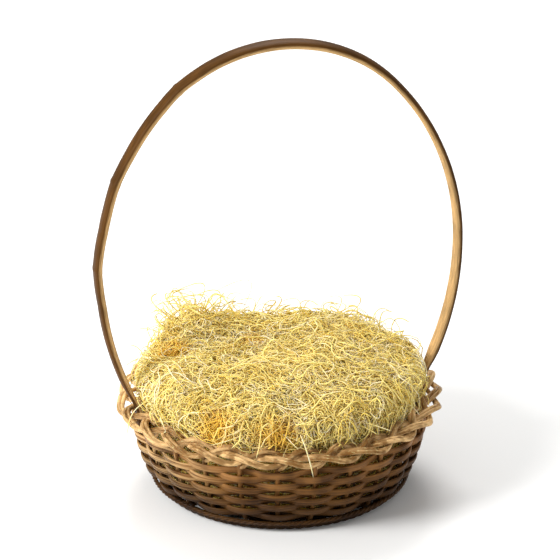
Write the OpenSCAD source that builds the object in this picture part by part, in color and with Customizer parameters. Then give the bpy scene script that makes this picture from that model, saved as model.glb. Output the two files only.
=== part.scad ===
// Easter basket: a round willow basket with a plaited border, a fixed bamboo hoop
// handle and a nest of wood-wool straw. +Z is up, +X runs along the handle's span,
// and the origin is the centre of the base on the surface that the basket stands on.

/* [Wall] */
// Radius of the middle of the wall at the height of the base
wall_r = 90.4; // [90:0.1:90.8]
// How far the wall leans out from upright at the height of the base, in degrees
wall_lean_low = 30; // [29:0.5:31]
// Radius of the curve by which the wall rounds up to the border
wall_curve_r = 120; // [116:1:124]
// Number of weaver rows
row_count = 9; // [6:1:9]
// Height of the middle of the first row
row_first_z = 13.3; // [13:0.1:14]
// Rise from one row to the next
row_pitch = 4.95; // [4.95:0.05:5.1]
// Gap between one row and the next
row_gap = 0.05; // [0.05:0.05:0.4]
// Thickness of a weaver
weaver_t = 2.2; // [1.6:0.1:2.2]

/* [Stakes] */
// Number of uprights around the wall, two of which are the handle's legs
upright_count = 24; // [16:4:24]
// Diameter of a stake
stake_d = 3.6; // [3:0.1:3.6]
// Bend radius where a stake turns up out of the base
stake_bend_r = 7; // [6:0.5:9]
// Radius at which the stake tails begin inside the base
stake_tail_r = 58; // [50:1:62]

/* [Base] */
// Outer radius of the foot ring
foot_r = 90.5; // [88:0.5:91]
// Width of the foot ring
foot_w = 6; // [4:0.5:6]
// Height of the foot ring
foot_h = 5.5; // [4:0.1:5.5]
// Diameter of a base stick
stick_d = 4.6; // [4:0.1:4.6]
// Diameter of the rods that weave the base
round_d = 2.8; // [2:0.1:2.8]
// Angle at which the outer sticks of a group bend away from the middle one
spoke_turn = 33; // [32:1:34]

/* [Border] */
// Radius of the middle of the plait
border_r = 109; // [108.8:0.1:109.4]
// Height of the middle of the plait
border_z = 67; // [66:0.5:68]
// How far the plait tips down towards its outer edge, in degrees
border_tilt = 8; // [6:1:10]
// How far a strand swings to each side
border_swing = 8.2; // [7.6:0.1:8.6]
// How far a strand rises and dips
border_rise = 2.5; // [2.3:0.1:2.6]
// Number of times that a strand swings out and back around the rim, an even number
border_periods = 8; // [6:2:8]
// Width of a strand, two rods side by side
strand_w = 6; // [4:0.1:6]
// Thickness of a strand
strand_t = 3.2; // [2.4:0.1:3.2]

/* [Handle] */
// Height of the middle of the strip at the top of the hoop
hoop_top_z = 345.6; // [320:0.1:360]
// Width of the strip
hoop_w = 13; // [10:0.1:13.4]
// Thickness of the strip
hoop_t = 4.8; // [3:0.1:5]
// Width of the whittled ends inside the basket
tongue_w = 9.6; // [8:0.1:9.6]
// Thickness of the whittled ends
tongue_t = 3.4; // [3:0.1:3.4]
// Diameter of the pegs
peg_d = 2.8; // [2:0.1:3]
// Length of the pegs
peg_length = 12; // [9:0.5:13]

/* [Straw] */
// Radius of the heap above the border
straw_r = 102; // [98:1:104]
// Height of the top of the heap
straw_top_z = 104; // [96:1:110]

/* [Hidden] */
row_names = [for (i = [1 : row_count]) str("weaver_row_", i)];
stake_places = [for (k = [1 : upright_count - 1]) if (k != upright_count / 2) k];
stake_names = [for (i = [1 : len(stake_places)]) str("stake_", i)];
pierced_names = [for (i = [1 : 3]) str("pierced_base_stick_", i)];
through_names = [for (i = [1 : 3]) str("through_base_stick_", i)];
strand_names = [for (i = [1 : 3]) str("border_strand_", i)];

willow_brown = "#6b4b28";
willow_dark = "#4a331c";
rim_tan = "#cfae82";
bamboo_brown = "#5a3510";
straw_yellow = "#e6cf86";

upright_turn = 360 / upright_count;
base_z = 7.5;
base_round_rise = (stick_d + round_d) / 2 + 0.05;
stake_top_z = 66;
weave_swing = (stake_d + weaver_t) / 2 + 0.3;
weaver_rings = 3 * upright_count;
border_rings = 12 * border_periods;

// Lean of the wall at height z, in degrees from upright, and the radius of its middle
function lean_at(z) = asin(sin(wall_lean_low) - (z - base_z) / wall_curve_r);
function wall_at(z) = wall_r + wall_curve_r * (cos(lean_at(z)) - cos(wall_lean_low));

// One ring of points of a section given as [across, up] pairs, where p is its middle
function ring_at(section, p, across, up) = [for (s = section) p + s[0] * across + s[1] * up];

function unit(v) = v / norm(v);

// Faces of a tube made of n rings of m points, closed on itself or with flat ends
function loop_faces(n, m) = [
    for (i = [0 : n - 1], j = [0 : m - 1])
        [i * m + j, i * m + (j + 1) % m, ((i + 1) % n) * m + (j + 1) % m, ((i + 1) % n) * m + j]
];
function bar_faces(n, m) = concat(
    [[for (j = [m - 1 : -1 : 0]) j]],
    [for (i = [0 : n - 2], j = [0 : m - 1])
        [i * m + j, i * m + (j + 1) % m, (i + 1) * m + (j + 1) % m, (i + 1) * m + j]],
    [[for (j = [0 : m - 1]) (n - 1) * m + j]]
);

// A path in the XZ plane is a chain of pieces, each [size, turn, steps]. A turn of 0 makes
// a straight of that length, and any other turn an arc of that radius, positive downwards.
// A point on a path is [x, z, degrees below level].
function piece_point(q, piece, part) =
    let (turned = q[2] + piece[1] * part, r = piece[1] < 0 ? -piece[0] : piece[0])
    piece[1] == 0
        ? [q[0] + piece[0] * part * cos(q[2]), q[1] - piece[0] * part * sin(q[2]), q[2]]
        : [q[0] + r * (sin(turned) - sin(q[2])), q[1] - r * (cos(q[2]) - cos(turned)), turned];

function path_points(q, pieces, i = 0) = i == len(pieces) ? [] : concat(
    [for (k = [1 : pieces[i][2]]) piece_point(q, pieces[i], k / pieces[i][2])],
    path_points(piece_point(q, pieces[i], 1), pieces, i + 1)
);

// A path from the middle, with its mirror image before it
function both_ways(middle, side) = concat(
    [for (i = [len(side) - 1 : -1 : 0]) [-side[i][0], side[i][1], -side[i][2]]],
    [middle],
    side
);

// A section of [out, side] pairs set square to a path at q
function path_ring(q, section) =
    ring_at(section, [q[0], 0, q[1]], [sin(q[2]), 0, cos(q[2])], [0, 1, 0]);

rod_sides = 10;
function round_section(d) = [for (k = [0 : rod_sides - 1])
    d / 2 * [cos(360 * k / rod_sides), sin(360 * k / rod_sides)]];

// A rod of diameter d along a path, bent in the XZ plane
module bent_rod(points, d) {
    polyhedron([for (q = points) each path_ring(q, round_section(d))],
        bar_faces(len(points), rod_sides), 4);
}

// A round rod lying in a ring around the axis
module ring_rod(r, z, d) {
    translate([0, 0, z])
        rotate_extrude($fn = 96)
            translate([r, 0])
                circle(d = d, $fn = 24);
}

// Foot ring: flat underneath, with a rounded outside
module foot_ring() {
    color(willow_dark)
        rotate_extrude($fn = 120)
            translate([foot_r - foot_w, 0])
                difference() {
                    square([foot_w, foot_h]);
                    translate([foot_w, foot_h])
                        rotate(45)
                            square(foot_w / 3, center = true);
                }
}

// A base stick lies straight across the middle and its two ends turn the same way.
// This is its path on one side, seen from above.
stick_reach = foot_r - foot_w - 2;
stick_straight = 13;
stick_bend_r = 14;
stick_gap = stick_d + 0.2;

// Length of a turned end that reaches the same radius as the straight stick
function stick_leg(turn) =
    let (
        tangent = stick_bend_r * tan(turn / 2),
        corner = stick_straight + tangent,
        b = corner * cos(turn) + stick_gap * sin(turn)
    )
    sqrt(b * b + stick_reach * stick_reach - corner * corner - stick_gap * stick_gap) - b - tangent;

function stick_path(turn) = both_ways([0, 0, 0], path_points([0, 0, 0],
    turn == 0
        ? [[stick_reach, 0, 1]]
        : [[stick_straight, 0, 1], [stick_bend_r, turn, 4], [stick_leg(abs(turn)), 0, 1]]));

// The middle of three sticks is straight, and the outer two open out to each side
module base_stick(i) {
    translate([0, (i - 1) * stick_gap, base_z])
        rotate([-90, 0, 0])
            bent_rod(stick_path(-(i - 1) * spoke_turn), stick_d);
}

slit_w = 3 * stick_gap + 0.6;
slit_h = stick_d + 0.2;

// A pierced stick swells around the slit that the three through sticks pass
module pierced_stick(i) {
    swell_h = slit_h + 3;
    color(willow_dark)
        rotate([0, 0, upright_turn / 2])
            difference() {
                union() {
                    base_stick(i);
                    translate([0, (i - 1) * stick_gap, base_z])
                        rotate([90, 0, 0])
                            linear_extrude(stick_d - 0.6, center = true)
                                polygon([[-12, 0], [-8, swell_h / 2], [8, swell_h / 2], [12, 0],
                                    [8, -swell_h / 2], [-8, -swell_h / 2]]);
                }
                translate([0, 0, base_z])
                    cube([slit_w, 40, slit_h], center = true);
            }
}

module through_stick(i) {
    color(willow_dark)
        rotate([0, 0, 90 + upright_turn / 2])
            base_stick(i);
}

// Rounds of weaving above and below the spokes between two radii
module base_weave(r_in, r_out) {
    color(willow_dark)
        for (r = [r_in : round_d + 0.4 : r_out], side = [-1, 1])
            ring_rod(r, base_z + side * base_round_rise, round_d);
}

// The round that grips the stakes where they turn up
module upsett_wale() {
    color(willow_dark)
        ring_rod(wall_at(base_z) + stake_d / 2 + 2.1, base_z, 3.4);
}

// A stake: a tail in the base, a bend that runs into the curve of the wall, and the wall's
// own curve up to the border
bend_share = stake_bend_r / wall_curve_r;
bend_lean = asin((sin(wall_lean_low) - bend_share) / (1 - bend_share));
bend_end_z = base_z + stake_bend_r * (1 - sin(bend_lean));
stake_path = let (start = [stake_tail_r, base_z, 0]) concat([start], path_points(start, [
    [wall_at(bend_end_z) - stake_bend_r * cos(bend_lean) - stake_tail_r, 0, 1],
    [stake_bend_r, bend_lean - 90, 5],
    [wall_curve_r, lean_at(stake_top_z) - bend_lean, 6]
]));

module stake(place) {
    color(willow_dark)
        rotate([0, 0, upright_turn * place])
            bent_rod(stake_path, stake_d);
}

// How far an angle lies within a leg's reach: 1 at a leg, easing to 0 between uprights
function near_leg(a) =
    let (off = min(abs(a), abs(a - 180), abs(a - 360)), t = min(1, max(0, (off - 4) / 6)))
    1 - t * t * (3 - 2 * t);

// A weaver row passes outside one upright and inside the next, so its radius is a wave.
// Every second row is half a wave round from the row under it, and each row swings wider
// at the handle's legs, which are broader than the stakes. A weaver fills the wall's slope
// from its own row to the next, so the rows are taller where the wall leans out more.
weaver_corners = [[0.5, -0.28], [0.5, 0.28], [0, 0.5], [-0.5, 0.28], [-0.5, -0.28], [0, -0.5]];

function weaver_ring(a, z, side) =
    let (
        waves = upright_count / 2,
        swing = side * weave_swing * (1 + 0.3 * near_leg(a)),
        r = wall_at(z) + swing * cos(waves * a),
        slope = -swing * waves * sin(waves * a),
        out = [cos(a), sin(a), 0],
        along = [-sin(a), cos(a), 0],
        across = unit(r * out - slope * along),
        lean = lean_at(z),
        weaver_h = row_pitch / cos(lean) - row_gap,
        section = [for (c = weaver_corners) [c[0] * weaver_t, c[1] * weaver_h]],
        up = [sin(lean) * cos(a), sin(lean) * sin(a), cos(lean)]
    )
    ring_at(section, r * out + [0, 0, z], across, up);

module weaver_row(i) {
    z = row_first_z + (i - 1) * row_pitch;
    side = i % 2 == 0 ? 1 : -1;
    rings = [for (k = [0 : weaver_rings - 1])
        each weaver_ring(k * 360 / weaver_rings, z, side)];
    color(willow_brown)
        polyhedron(rings, loop_faces(weaver_rings, len(weaver_corners)), 4);
}

// A border strand swings across the rim once in each period and rises twice, so that the
// three strands pass over and under each other. It spreads around the handle's legs.
strand_section = [for (k = [0 : 7])
    let (c = cos(22.5 + 45 * k), s = sin(22.5 + 45 * k))
    [strand_w / 2 * c / cos(22.5), strand_t / 2 * s / cos(22.5)]];

function strand_middle(a, i) =
    let (
        phase = border_periods * a + 270 + 120 * (i - 1),
        spread = i == 1 ? -1.0 : 1.9,
        x = border_swing * sin(phase) + spread * near_leg(a),
        n = border_rise * sin(2 * phase),
        r = border_r + x * cos(border_tilt) + n * sin(border_tilt),
        z = border_z - x * sin(border_tilt) + n * cos(border_tilt)
    )
    [r * cos(a), r * sin(a), z];

function strand_ring(a, i) =
    let (
        along = unit(strand_middle(a + 0.5, i) - strand_middle(a - 0.5, i)),
        lift = [sin(border_tilt) * cos(a), sin(border_tilt) * sin(a), cos(border_tilt)],
        across = unit(cross(along, lift)),
        up = cross(across, along)
    )
    ring_at(strand_section, strand_middle(a, i), across, up);

module border_strand(i) {
    rings = [for (k = [0 : border_rings - 1]) each strand_ring(k * 360 / border_rings, i)];
    color(rim_tan)
        polyhedron(rings, loop_faces(border_rings, len(strand_section)), 4);
}

// The handle runs from the top of the hoop down each side in two arcs to its widest point,
// then in a third arc inwards and a bend back to the border, and along the curve of the
// wall. The third arc is the one that reaches the wall at the leg's top.
crown_r = 114.5;
crown_turn = 47.2;
shoulder_r = 190;
widest_x = crown_r * sin(crown_turn) + shoulder_r * (1 - sin(crown_turn));
widest_z = hoop_top_z - crown_r * (1 - cos(crown_turn)) - shoulder_r * cos(crown_turn);
leg_top_z = 62.5;
leg_end_z = 12.6;
leg_bend_r = 30;
leg_lean = lean_at(leg_top_z);
leg_in = widest_x - wall_at(leg_top_z) + leg_bend_r * (1 - cos(leg_lean));
leg_down = widest_z - leg_top_z + leg_bend_r * sin(leg_lean);
side_turn = 2 * atan(leg_in / leg_down);
side_r = leg_down / sin(side_turn) - leg_bend_r;
hoop_top = [0, hoop_top_z, 0];
hoop_points = both_ways(hoop_top, path_points(hoop_top, [
    [crown_r, crown_turn, 8], [shoulder_r, 90 - crown_turn, 7], [side_r, side_turn, 8],
    [leg_bend_r, leg_lean - side_turn, 5], [wall_curve_r, lean_at(leg_end_z) - leg_lean, 6]
]));

// The strip is whittled thinner and narrower below this height
whittle_top_z = 92;
whittle_end_z = 76;

function hoop_ring(q) =
    let (
        whole = min(1, max(0, (q[1] - whittle_end_z) / (whittle_top_z - whittle_end_z))),
        w = tongue_w + (hoop_w - tongue_w) * whole,
        t = tongue_t + (hoop_t - tongue_t) * whole,
        section = [[-t / 2, -w * 0.38], [0.2 * t, -w / 2], [t / 2, -w * 0.3], [t / 2, w * 0.3],
            [0.2 * t, w / 2], [-t / 2, w * 0.38]]
    )
    path_ring(q, section);

peg_z = 58.9;
peg_x = wall_at(peg_z);

module peg_at(side) {
    translate([side * peg_x, 0, peg_z])
        rotate([0, 90, 0])
            cylinder(d = peg_d, h = peg_length, center = true, $fn = 24);
}

module handle_hoop() {
    rings = [for (q = hoop_points) each hoop_ring(q)];
    color(bamboo_brown)
        difference() {
            polyhedron(rings, bar_faces(len(hoop_points), 6), 4);
            for (side = [-1, 1])
                translate([side * peg_x, 0, peg_z])
                    rotate([0, 90, 0])
                        cylinder(d = peg_d + 0.1, h = 2 * peg_length, center = true, $fn = 24);
        }
}

module handle_peg(side) {
    color(willow_brown)
        peg_at(side);
}

// The straw fills the basket with a small gap all round, swells over the border and
// is heaped up to a low dome.
module straw_nest() {
    gap = 5.7;
    floor_z = 13.4;
    neck_z = 74;
    neck_r = border_r - border_swing - strand_w / 2 - 2;
    color(straw_yellow)
        rotate_extrude($fn = 96)
            polygon([
                [0, floor_z], [wall_at(floor_z) - gap - 3, floor_z],
                [wall_at(floor_z + 3) - gap, floor_z + 3], [wall_at(30) - gap, 30],
                [neck_r, 45], [neck_r, neck_z], [straw_r - 1, neck_z + 7],
                [straw_r, neck_z + 11],
                [straw_r - 3, straw_top_z - 11], [straw_r * 0.85, straw_top_z - 4],
                [straw_r * 0.6, straw_top_z - 1], [straw_r * 0.3, straw_top_z], [0, straw_top_z]
            ]);
}

foot_ring();
base_weave(14, stake_tail_r - 3);  // inner_base_weave
base_weave(stake_tail_r + 1, foot_r - foot_w - 3);  // outer_base_weave
upsett_wale();
for (i = [0 : 2]) {
    pierced_stick(i);
    through_stick(i);
    border_strand(i + 1);
}
for (i = [0 : len(stake_places) - 1])
    stake(stake_places[i]);
for (i = [0 : row_count - 1])
    weaver_row(i + 1);
handle_hoop();
handle_peg(-1);  // handle_peg_left
handle_peg(1);  // handle_peg_right
straw_nest();
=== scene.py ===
"""Easter basket: a round willow basket with a plaited border, a bamboo hoop and a straw nest.

Sizes are in metres. Angles around the basket start at the handle's right leg, on +X, and
grow towards +Y, the back.
"""
import math

import bpy
import numpy as np
from bpy.props import FloatProperty, FloatVectorProperty, IntProperty, PointerProperty
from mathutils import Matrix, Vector


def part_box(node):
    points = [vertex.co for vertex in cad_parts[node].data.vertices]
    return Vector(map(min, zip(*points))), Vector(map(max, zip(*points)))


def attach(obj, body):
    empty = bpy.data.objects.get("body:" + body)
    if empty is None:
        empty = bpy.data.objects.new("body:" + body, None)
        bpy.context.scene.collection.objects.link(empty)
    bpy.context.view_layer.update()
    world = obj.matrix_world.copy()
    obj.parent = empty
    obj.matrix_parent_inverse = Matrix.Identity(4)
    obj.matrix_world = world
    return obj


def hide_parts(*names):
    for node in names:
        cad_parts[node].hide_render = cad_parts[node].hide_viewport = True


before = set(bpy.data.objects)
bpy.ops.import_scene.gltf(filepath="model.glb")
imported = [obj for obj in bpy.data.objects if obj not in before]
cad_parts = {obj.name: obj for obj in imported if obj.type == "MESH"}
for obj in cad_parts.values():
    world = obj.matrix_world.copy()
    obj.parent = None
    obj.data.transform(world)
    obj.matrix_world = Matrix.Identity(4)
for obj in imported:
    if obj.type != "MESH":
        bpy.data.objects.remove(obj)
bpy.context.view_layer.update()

bl_info = {
    "name": "Easter basket",
    "version": (1, 0, 0),
    "blender": (4, 5, 0),
    "location": "3D View > Sidebar > Basket",
    "description": "Weaves a willow basket with a bamboo hoop and a straw nest around its frame",
    "category": "Add Mesh",
}

TAU = 2 * math.pi
UPRIGHTS = 24
PITCH = TAU / UPRIGHTS
LEG_PLACES = (0, UPRIGHTS // 2)
STAKE_PLACES = [place for place in range(UPRIGHTS) if place not in LEG_PLACES]
STRANDS = 3
ROWS = sum(name.startswith("weaver_row_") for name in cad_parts)
GRAIN_MAP = "OFBake"
UP = np.array([0.0, 0.0, 1.0])


# ---- sizes and colours

def length(name, default, description):
    return FloatProperty(name=name, default=default, description=description,
                         subtype="DISTANCE", unit="LENGTH", precision=4)


def slope(name, default, description):
    return FloatProperty(name=name, default=math.radians(default), description=description,
                         subtype="ANGLE")


def amount(name, default, description):
    return IntProperty(name=name, default=default, description=description, min=1)


def colour(name, default, description):
    return FloatVectorProperty(name=name, default=default, description=description,
                               subtype="COLOR", size=3, min=0.0, max=1.0)


class WallSizes(bpy.types.PropertyGroup):
    """Sizes of the base, the stakes and the woven wall."""
    radius: length("Wall radius", 0.0904, "Radius of the wall's middle at the base's height")
    lean: slope("Lean", 30, "How far the wall leans out at the base's height")
    curve: length("Wall curve", 0.120, "Radius of the curve by which the wall rounds up")
    row_pitch: length("Row pitch", 0.00495, "Rise from one row to the next")
    weaver_thickness: length("Weaver thickness", 0.0021, "Thickness of a weaver")
    stake_diameter: length("Stake diameter", 0.0036, "Diameter of a stake")
    stake_bend: length("Stake bend", 0.007, "Radius of a stake's bend out of the base")
    base_height: length("Base height", 0.0075, "Height of the middle of the base")


class BorderSizes(bpy.types.PropertyGroup):
    """Sizes of the plaited border."""
    radius: length("Border radius", 0.109, "Radius of the middle of the plait")
    height: length("Border height", 0.067, "Height of the middle of the plait")
    tilt: slope("Tilt", 8, "How far the plait tips down towards its outer edge")
    swing: length("Swing", 0.0082, "How far a strand swings to each side")
    rise: length("Rise", 0.0025, "How far a strand rises and dips")
    rod: length("Rod diameter", 0.0032, "Diameter of a rod in the plait")


class HoopSizes(bpy.types.PropertyGroup):
    """Sizes of the bamboo hoop."""
    top: length("Top", 0.3456, "Height of the middle of the strip at the top")
    width: length("Width", 0.0130, "Width of the strip")
    thickness: length("Thickness", 0.0048, "Thickness of the strip")
    tongue_width: length("End width", 0.0096, "Width of the whittled ends")
    tongue_thickness: length("End thickness", 0.0034, "Thickness of the whittled ends")


class StrawSizes(bpy.types.PropertyGroup):
    """Sizes and amounts of the wood wool."""
    strands: amount("Strands", 14000, "Curly strands in the heap")
    lower: amount("Lower strands", 2600, "Strands around the nest's sides and foot")
    ribbon: length("Ribbon width", 0.0010, "Width of a strand")
    loose: amount("Loose strands", 260, "Thin strands that stand out of the heap")


class Colours(bpy.types.PropertyGroup):
    """Colours of the finishes."""
    willow_brown: colour("Brown willow", (0.200, 0.086, 0.018), "Weavers of the wall")
    willow_dark: colour("Dark willow", (0.042, 0.015, 0.003), "Base and shaded weavers")
    willow_pale: colour("Pale willow", (0.77, 0.50, 0.225), "Rods of the plait")
    bamboo_skin: colour("Bamboo skin", (0.056, 0.023, 0.004), "Outside of the hoop")
    bamboo_pith: colour("Bamboo pith", (0.64, 0.40, 0.17), "Inside of the hoop")
    straw_pale: colour("Pale straw", (0.930, 0.725, 0.225), "Strands that catch the light")
    straw_gold: colour("Golden straw", (0.800, 0.530, 0.095), "Strands deeper in the heap")
    # Painted shade: this amber stands for the shade in the heap's hollows and under its surface.
    straw_shade_amber: colour("Amber straw", (0.900, 0.520, 0.060), "Hollows of the heap")


def basket():
    """All the basket's settings."""
    return bpy.context.scene.basket


# ---- meshes

def unit(vectors):
    """Each vector divided by its own length."""
    return vectors / np.maximum(np.linalg.norm(vectors, axis=-1, keepdims=True), 1e-12)


def smoothstep(low, high, x):
    """0 below low, 1 above high and an even S between them."""
    t = np.clip((x - low) / (high - low), 0, 1)
    return t * t * (3 - 2 * t)


def eased(angle, start, end):
    """0 before start, 1 after end and an even S between; start and end are in degrees."""
    return smoothstep(math.radians(start), math.radians(end), angle)


def waver(x, seed, count=5, lowest=1):
    """A smooth random wave over x in radians: a sum of sines of whole, rising frequencies."""
    rng = np.random.default_rng(seed)
    waves = [rng.normal() / math.sqrt(k) * np.sin(k * x + rng.uniform(0, TAU))
             for k in range(lowest, lowest + count)]
    return sum(waves) / math.sqrt(count)


def travelled(*axes):
    """Distance along a path to each of its points, from their two coordinates."""
    return np.concatenate([[0], np.cumsum(np.hypot(*np.diff(axes)))])


def left_of(here, ahead):
    """Unit directions to the left of the way from points [r, z] to the next ones."""
    return unit(np.stack([here[..., 1] - ahead[..., 1], ahead[..., 0] - here[..., 0]], -1))


def add_object(name, data):
    """A new object in the scene."""
    made = bpy.data.objects.new(name, data)
    bpy.context.scene.collection.objects.link(made)
    return made


def new_piece(name, points, faces, uv, body, look, nodes=()):
    """A piece from its vertices, quads and a map corner for each corner of each quad.

    look is the name of its finish, and nodes are the frame's nodes that it stands for.
    """
    mesh = bpy.data.meshes.new(name)
    mesh.vertices.add(len(points))
    mesh.vertices.foreach_set("co", np.asarray(points, np.float32).ravel())
    mesh.loops.add(faces.size)
    mesh.loops.foreach_set("vertex_index", faces.astype(np.int32).ravel())
    mesh.polygons.add(len(faces))
    mesh.polygons.foreach_set("loop_start", np.arange(0, faces.size, 4, dtype=np.int32))
    mesh.polygons.foreach_set("use_smooth", np.ones(len(faces), bool))
    mesh.uv_layers.new(name=GRAIN_MAP).uv.foreach_set("vector", np.asarray(uv, np.float32).ravel())
    mesh.update(calc_edges=True)
    mesh.validate()
    piece = add_object(name, mesh)
    piece.data.materials.append(finish(look))
    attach(piece, body)
    if nodes:
        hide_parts(*nodes)
    return piece


def sweep(middles, across, up, section):
    """Vertices of R rods: each of n rings of m points, middle + a * across + b * up.

    middles, across and up have the shape (R, n, 3), and section (R, n, m, 2) or less.
    """
    a, b = section[..., 0, None], section[..., 1, None]
    return middles[..., None, :] + a * across[..., None, :] + b * up[..., None, :]


def tube_quads(count, rings, sides, closed=False):
    """The quads of count tubes, each with four corners: corner s of ring r is r * sides + s,
    and each tube's corners are numbered on from the one before."""
    ring, side = np.mgrid[0:rings if closed else rings - 1, 0:sides]
    here, there, after = ring * sides, (ring + 1) % rings * sides, (side + 1) % sides
    quad = np.stack([here + side, here + after, there + after, there + side], -1)
    return (quad.reshape(1, -1, 4) + (np.arange(count) * rings * sides)[:, None, None]).reshape(-1, 4)


def rods_piece(name, points, look, node, closed=False):
    """One piece of R rods from their rings, shape (R, n, m, 3), each a quad-walled tube.

    Open rods are closed by a last ring drawn in to the middle of each end. The map gives
    each rod its own band: along the rod to the right and around it upwards.
    """
    if not closed:
        ends = points[:, [0, -1]]
        tips = np.repeat(ends.mean(axis=2, keepdims=True), points.shape[2], axis=2)
        inset_share = 0.25
        inset = ends + inset_share * (tips - ends)
        points = np.concatenate([tips[:, :1], inset[:, :1], points, inset[:, 1:], tips[:, 1:]], 1)
    count, n, m = points.shape[:3]
    spans = n if closed else n - 1
    ring, side = np.mgrid[0:spans, 0:m]
    u = np.stack([ring, ring, ring + 1, ring + 1], -1).reshape(1, -1) / spans
    v = np.stack([side, side + 1, side + 1, side], -1).reshape(1, -1) / m
    v = (v + np.arange(count)[:, None]) / count
    uv = np.stack(np.broadcast_arrays(u, v), -1).reshape(-1, 2)
    new_piece(name, points.reshape(-1, 3), tube_quads(count, n, m, closed), uv, "basket", look, [node])


def squared_off(wave, power):
    """A wave raised to a power with its sign kept: below 1, its tops are flatter."""
    return np.sign(wave) * np.abs(wave) ** power


def circle(radius, m=12):
    """A round section of m points; radius may have any shape."""
    turn = np.arange(m) * TAU / m
    return np.asarray(radius)[..., None, None] * np.stack([np.cos(turn), np.sin(turn)], -1)


def flat_oval(thickness, height, m=14, power=0.55):
    """A flattened oval of m points: cosine and sine raised to a power below 1, which squares
    it off."""
    turn = (np.arange(m) + 0.5) * TAU / m
    outline = squared_off(np.stack([np.cos(turn), np.sin(turn)], -1), power) / 2
    return outline * np.stack(np.broadcast_arrays(thickness, height), -1)[..., None, :]


def along(middles, closed=False):
    """Unit directions along paths of shape (R, n, 3), from each point's neighbours."""
    if closed:
        return unit(np.roll(middles, -1, axis=1) - np.roll(middles, 1, axis=1))
    return unit(np.gradient(middles, axis=1))


def square_frame(middles, guide, closed=False):
    """Across and up directions, square to the path, with up as near guide as it can be."""
    forward = along(middles, closed)
    across = unit(np.cross(forward, guide))
    return across, np.cross(across, forward)


def rolled(across, up, roll):
    """Both directions turned about the path by an angle."""
    return across * np.cos(roll) + up * np.sin(roll), up * np.cos(roll) - across * np.sin(roll)


def lay_rods(name, middles, guide, section, look, node, closed=False, roll=0.0):
    """A node's rods: a section carried along the middle line of each, with its up side as
    near guide as it can be, then rolled about the line."""
    across, up = rolled(*square_frame(middles, guide, closed), roll)
    rods_piece(name, sweep(middles, across, up, section), look, node, closed)


def polar(radius, angle, height):
    """Points at a radius and an angle around the axis."""
    radius, angle, height = np.broadcast_arrays(radius, angle, height)
    return np.stack([radius * np.cos(angle), radius * np.sin(angle), height], -1)


def outwards(angle, lean):
    """Directions away from the axis, leaning up by an angle."""
    return polar(np.cos(lean) + 0 * angle, angle, np.sin(lean))


def lean_at(height):
    """The wall's lean from upright, whose sine falls evenly with height on a round curve."""
    sizes = basket().wall
    return np.arcsin(math.sin(sizes.lean) - (height - sizes.base_height) / sizes.curve)


def wall_at(height):
    """Radius of the middle of the wall, which is an arc seen from the side."""
    sizes = basket().wall
    return sizes.radius + sizes.curve * (np.cos(lean_at(height)) - math.cos(sizes.lean))


def near_leg(angle):
    """1 at a handle leg, easing to 0 at 10 degrees from it."""
    off = np.abs((angle + math.pi / 2) % math.pi - math.pi / 2)
    return 1 - eased(off, 4, 10)


def bent_path(start, steps):
    """Points [x, z] of straights and arcs joined smoothly, from start, heading along +x.

    Each step is (size, turn, count): a straight of that length when turn is 0, and
    otherwise an arc of that radius that turns down by turn degrees, or up if negative.
    """
    points, (x, z), heading = [list(start)], start, 0.0
    for size, turn, count in steps:
        turned = heading + math.radians(turn) * np.arange(1, count + 1) / count
        if turn:
            radius = math.copysign(size, turn)
            xs = x + radius * (np.sin(turned) - math.sin(heading))
            zs = z - radius * (math.cos(heading) - np.cos(turned))
        else:
            run = size * np.arange(1, count + 1) / count
            xs, zs = x + run * math.cos(heading), z - run * math.sin(heading)
        points += np.stack([xs, zs], -1).tolist()
        x, z, heading = xs[-1], zs[-1], turned[-1]
    return np.array(points)


# ---- materials

class Value:
    """A shader socket that takes part in arithmetic: each step adds a Math node."""

    def __init__(self, finish, socket):
        self.finish, self.socket = finish, socket

    def maths(self, operation, *values):
        return self.finish.node("Math", {"operation": operation}, dict(enumerate(values)))

    def __add__(self, other):
        return self.maths("ADD", self, other)

    def __sub__(self, other):
        return self.maths("SUBTRACT", self, other)

    def __rsub__(self, other):
        return self.maths("SUBTRACT", other, self)

    def __mul__(self, other):
        return self.maths("MULTIPLY", self, other)

    __radd__, __rmul__ = __add__, __mul__

    def between(self, low, high):
        """0 below low, 1 above high and an even S between."""
        return self.finish.node("MapRange", {"interpolation_type": "SMOOTHSTEP"},
                                {"Value": self, "From Min": low, "From Max": high})


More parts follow.
